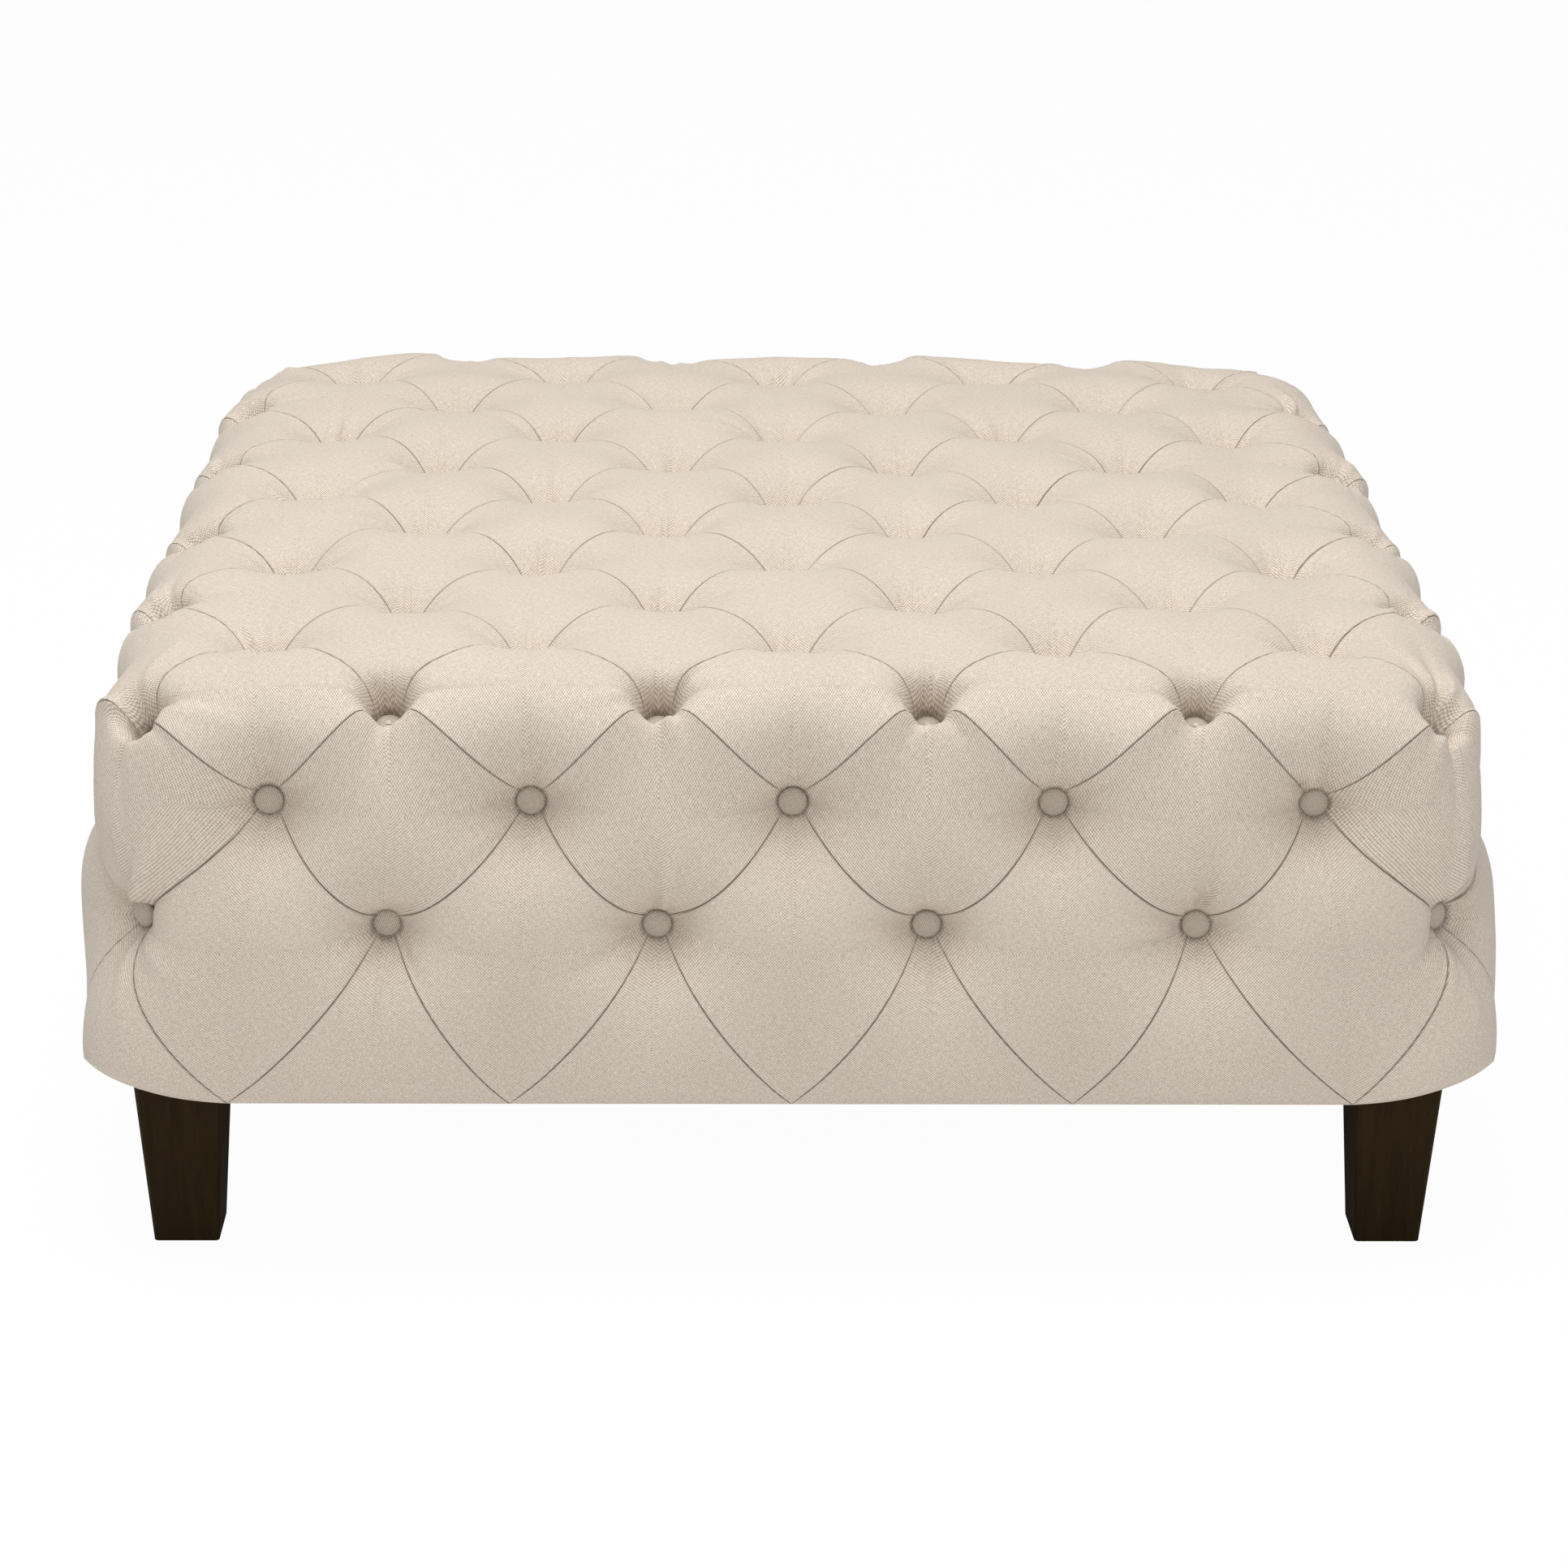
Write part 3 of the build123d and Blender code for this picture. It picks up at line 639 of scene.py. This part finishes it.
def woven(name, dark, light, thread):
    """Coarse woven strap, its threads along X and Y."""
    n = Nodes(name)
    place = n.object_place()
    cross = n.maths("MULTIPLY", n.weave(place, thread), 0.25)
    tone = n.maths("ADD", cross, n.noise(place, 400.0, 3.0))
    n.link(n.ramp(tone, (0.25, dark), (0.75, light)), "Base Color")
    n.values(Roughness=0.95)
    n.bump(tone, WEBBING_BUMP, 0.6)
    return n.material


finishes = {
    "linen": linen("linen", (0.44, 0.366, 0.295), (0.91, 0.81, 0.705)),
    # Painted shade: the buttons' linen is the cover's linen made darker, for the shadow in which the
    # buttons sit
    "button_linen": linen("button_linen", (0.35, 0.29, 0.23), (0.74, 0.655, 0.565)),
    "foam": grained("foam", (0.72, 0.66, 0.45), (0.86, 0.80, 0.60), 900.0, 0.9, depth=FOAM_BUMP),
    "webbing": woven("webbing", (0.22, 0.15, 0.08), (0.50, 0.38, 0.22), WEBBING_THREAD),
    "twine": grained("twine", (0.52, 0.47, 0.36), (0.74, 0.69, 0.58), 1200.0, 0.8),
    "toggle": grained("toggle", (0.74, 0.74, 0.71), (0.84, 0.84, 0.81), 300.0, 0.4),
    "plywood": wood("plywood", (0.50, 0.36, 0.20), (0.74, 0.58, 0.38), 0.6, 0.0, along=0),
    "pine": wood("pine", (0.56, 0.40, 0.21), (0.80, 0.63, 0.40), 0.6, 0.0, along=0),
    "leg_wood": wood("leg_wood", (0.013, 0.0068, 0.0016), (0.033, 0.0185, 0.0056), 0.55, 0.01,
                     shine=0.06),
    "zinc_steel": grained("zinc_steel", (0.50, 0.50, 0.50), (0.66, 0.66, 0.66), 500.0, 0.35, metal=1.0),
    "glide": grained("glide", (0.02, 0.018, 0.016), (0.05, 0.045, 0.04), 600.0, 0.45),
    "dust_cloth": grained("dust_cloth", (0.015, 0.015, 0.015), (0.05, 0.05, 0.05), 1500.0, 0.95),
}
slots = {part["node"]: part["material_slot"] for part in frame["record"]["subparts"]}
for name, node in frame["nodes"].items():
    node.data.materials.clear()
    node.data.materials.append(finishes[slots[name]])

cover = new_object("cover", cloth_mesh("cover"), finishes["linen"])
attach(cover, "root")
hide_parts("tufted_cover")


# Buttons


def button_faces(base):
    """Faces of one button, whose first point is number base."""
    faces = []
    for r in range(len(BUTTON_RINGS) - 1):
        for k in range(BUTTON_SIDES):
            after = (k + 1) % BUTTON_SIDES
            a, b = base + r * BUTTON_SIDES, base + (r + 1) * BUTTON_SIDES
            faces.append((a + k, a + after, b + after, b + k))
    tip = base + len(BUTTON_RINGS) * BUTTON_SIDES
    last = tip - BUTTON_SIDES
    for k in range(BUTTON_SIDES):
        faces.append((last + k, last + (k + 1) % BUTTON_SIDES, tip))
    faces.append(tuple(base + k for k in reversed(range(BUTTON_SIDES))))
    return faces


def button_mesh(name, seats):
    """Covered buttons: a domed face, a rolled edge and cloth drawn in behind it."""
    verts, faces, uvs = [], [], []
    for point, out in seats:
        faces += button_faces(len(verts))
        across = unit(np.cross(UP, out)) if abs(out[2]) < FACING_UP else np.array((1.0, 0.0, 0.0))
        up = np.cross(out, across)
        twist = rng.uniform(-BUTTON_TWIST, BUTTON_TWIST)
        lean = rng.normal(0, BUTTON_LEAN, 2)
        face = unit(out + across * lean[0] + up * lean[1])
        for radius, height in BUTTON_RINGS:
            grow = 1.0 if height > RIPPLE_TOP else GATHER_SHARE
            for k in range(BUTTON_SIDES):
                angle = 2 * math.pi * k / BUTTON_SIDES
                wave = RIPPLE_SHARE * math.cos(RIPPLES * angle + twist * RIPPLE_TWIST)
                ripple = 1 + wave * (height < RIPPLE_TOP)
                x, y = radius * ripple * math.cos(angle), radius * ripple * math.sin(angle)
                verts.append(point + across * x + up * y + face * height)
                uvs.append((math.cos(twist) * x * grow - math.sin(twist) * y * grow,
                            math.sin(twist) * x * grow + math.cos(twist) * y * grow))
        verts.append(point + face * BUTTON_TIP)
        uvs.append((0, 0))
    mesh = bpy.data.meshes.new(name)
    mesh.from_pydata((np.array(verts) * MM).tolist(), [], faces)
    layer = mesh.uv_layers.new(name="cloth")
    for loop in mesh.loops:
        u, v = uvs[loop.vertex_index]
        layer.data[loop.index].uv = (u * MM, v * MM)
    return mesh


for row, node_name in (("top", "top_buttons"), ("rim", "rim_buttons"), ("upper", "upper_side_buttons"),
                       ("lower", "lower_side_buttons")):
    seats = [(point + out * BUTTON_LEVEL[row], out) for point, out in map(spot, buttons_of(row))]
    piece = new_object(f"covered_{node_name}", button_mesh(node_name, seats), finishes["button_linen"])
    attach(piece, "root")
    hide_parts(node_name)


# Dust cover


def dust_sheet():
    """Thin cloth drawn flat under the base, which sags a little and is cut out round the legs."""
    even = np.linspace(-DUST_REACH, DUST_REACH, DUST_STEPS).round(3)
    inner = [v for v in even if abs(v) < NOTCH_LOW]
    outer = np.linspace(NOTCH_LOW, DUST_REACH, NOTCH_STEPS).round(3)
    steps = sorted({*inner, *outer, *-outer})
    count = len(steps)
    verts = []
    for y in steps:
        for x in steps:
            inside = max(0.0, 1 - (max(abs(x), abs(y)) / NOTCH_LOW) ** SAG_POWER)
            wave = DUST_WAVE * math.sin(x / DUST_WAVE_X + 1) * math.sin(y / DUST_WAVE_Y)
            verts.append((x * MM, y * MM, (DUST_HEIGHT - inside * (DUST_SAG + wave)) * MM))
    faces = []
    for j in range(count - 1):
        for i in range(count - 1):
            x, y = (steps[i] + steps[i + 1]) / 2, (steps[j] + steps[j + 1]) / 2
            if min(abs(x), abs(y)) < NOTCH_LOW:
                a = j * count + i
                faces.append((a, a + 1, a + count + 1, a + count))
    mesh = bpy.data.meshes.new("dust_sheet")
    mesh.from_pydata(verts, [], faces)
    return mesh


dust = new_object("dust_sheet", dust_sheet(), finishes["dust_cloth"])
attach(dust, "root")
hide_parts("dust_cover")


# Floor, light and camera


def floor_plane():
    """Pale floor that is nearly white to the camera and keeps a faint shadow."""
    corners = [(x * FLOOR_REACH, y * FLOOR_REACH, 0) for x, y in ((-1, -1), (1, -1), (1, 1), (-1, 1))]
    mesh = bpy.data.meshes.new("floor")
    mesh.from_pydata(corners, [], [(0, 1, 2, 3)])
    n = Nodes("floor")
    speck = n.noise(n.object_place(), 3.0, 2.0)
    n.link(n.ramp(speck, (0.0, FLOOR_DARK), (1.0, FLOOR_LIGHT)), "Base Color")
    n.values(Roughness=0.9, Specular_IOR_Level=0.0)
    white = n.add("Emission", {"Color": WHITE, "Strength": 1.0}).outputs[0]
    seen = n.maths("MULTIPLY", n.add("LightPath").outputs["Is Camera Ray"], FLOOR_WHITE)
    mixed = n.add("MixShader", {0: seen, 1: n.shader.outputs[0], 2: white}).outputs[0]
    n.tree.links.new(mixed, n.tree.nodes["Material Output"].inputs["Surface"])
    return new_object("floor", mesh, n.material, smooth=False)


floor_plane()


def area_light(name, place, size, power):
    """Square light that faces the ottoman."""
    data = bpy.data.lights.new(name, "AREA")
    data.size = size
    data.energy = power
    light = bpy.data.objects.new(name, data)
    light.location = place
    light.rotation_mode = "QUATERNION"
    light.rotation_quaternion = (Vector(LIGHT_TARGET) - Vector(place)).to_track_quat("-Z", "Y")
    bpy.context.scene.collection.objects.link(light)


def white_world():
    """Even light from all round, and white behind the object."""
    world = bpy.data.worlds.new("studio")
    world.use_nodes = True
    tree = world.node_tree
    tree.nodes.clear()
    kinds = ("LightPath", "MixShader", "OutputWorld")
    rays, mix, out = (tree.nodes.new("ShaderNode" + kind) for kind in kinds)
    tree.links.new(rays.outputs["Is Camera Ray"], mix.inputs[0])
    for socket, strength in ((mix.inputs[1], AMBIENT), (mix.inputs[2], 1.0)):
        light = tree.nodes.new("ShaderNodeBackground")
        light.inputs["Color"].default_value = WHITE
        light.inputs["Strength"].default_value = strength
        tree.links.new(light.outputs[0], socket)
    tree.links.new(mix.outputs[0], out.inputs[0])
    bpy.context.scene.world = world


def camera():
    """Camera of the photograph."""
    level = math.cos(PITCH_DOWN)
    forward = Vector((math.sin(YAW) * level, math.cos(YAW) * level, -math.sin(PITCH_DOWN)))
    right = Vector((math.cos(YAW), -math.sin(YAW), 0))
    up = right.cross(forward)
    right, up = (right * math.cos(ROLL) + up * math.sin(ROLL),
                 up * math.cos(ROLL) - right * math.sin(ROLL))
    data = bpy.data.cameras.new("camera")
    data.lens, data.sensor_width = LENS, SENSOR
    view = bpy.data.objects.new("camera", data)
    turn = Matrix((right, up, -forward)).transposed().to_4x4()
    view.matrix_world = Matrix.Translation(CAMERA_PLACE) @ turn
    bpy.context.scene.collection.objects.link(view)
    bpy.context.scene.camera = view


for light in LIGHTS:
    area_light(*light)
white_world()
camera()
bpy.context.scene.view_settings.view_transform = "Standard"
